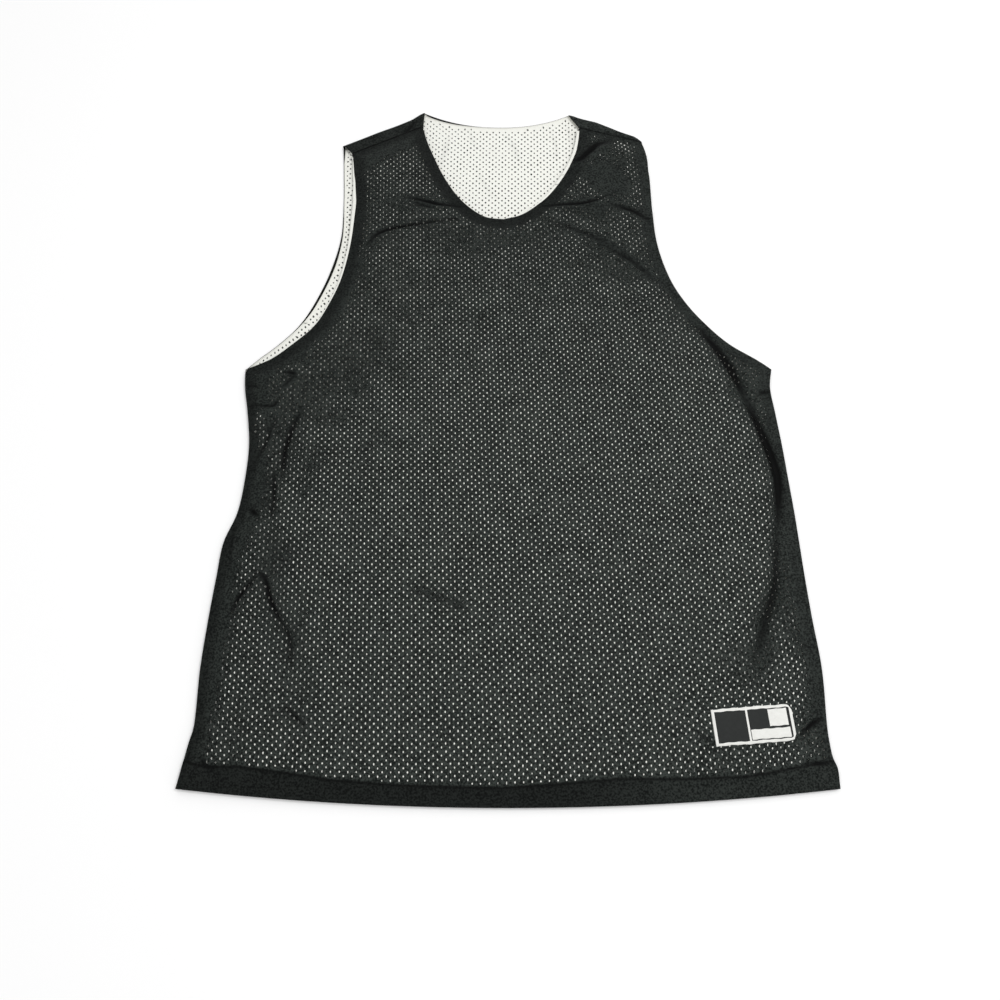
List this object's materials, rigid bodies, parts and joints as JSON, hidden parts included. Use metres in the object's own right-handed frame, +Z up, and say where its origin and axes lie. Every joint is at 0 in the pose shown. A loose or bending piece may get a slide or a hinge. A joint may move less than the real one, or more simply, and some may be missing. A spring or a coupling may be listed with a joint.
{
  "type": "basketball jersey laid flat",
  "caption": "Sleeveless reversible mesh basketball jersey laid flat: black mesh outside, white mesh inside, scoop neck, deep armholes and a turned hem with a woven label.",
  "frame": {"origin": "on the surface that the jersey lies on, under the middle of its bounding box", "axes": "+Y from hem to neck, +X towards the label's side, to the right of someone who looks at the front, +Z up out of the front"},
  "size_m": [0.633, 0.847, 0.0103],
  "materials": {
    "black_mesh": "matte knitted mesh",
    "white_mesh": "matte knitted mesh",
    "label": "woven"
  },
  "bodies": {
    "root": {"front_black_mesh": "black_mesh", "front_white_mesh": "white_mesh", "back_white_mesh": "white_mesh", "back_black_mesh": "black_mesh", "hem_label": "label"}
  },
  "joints": []
}
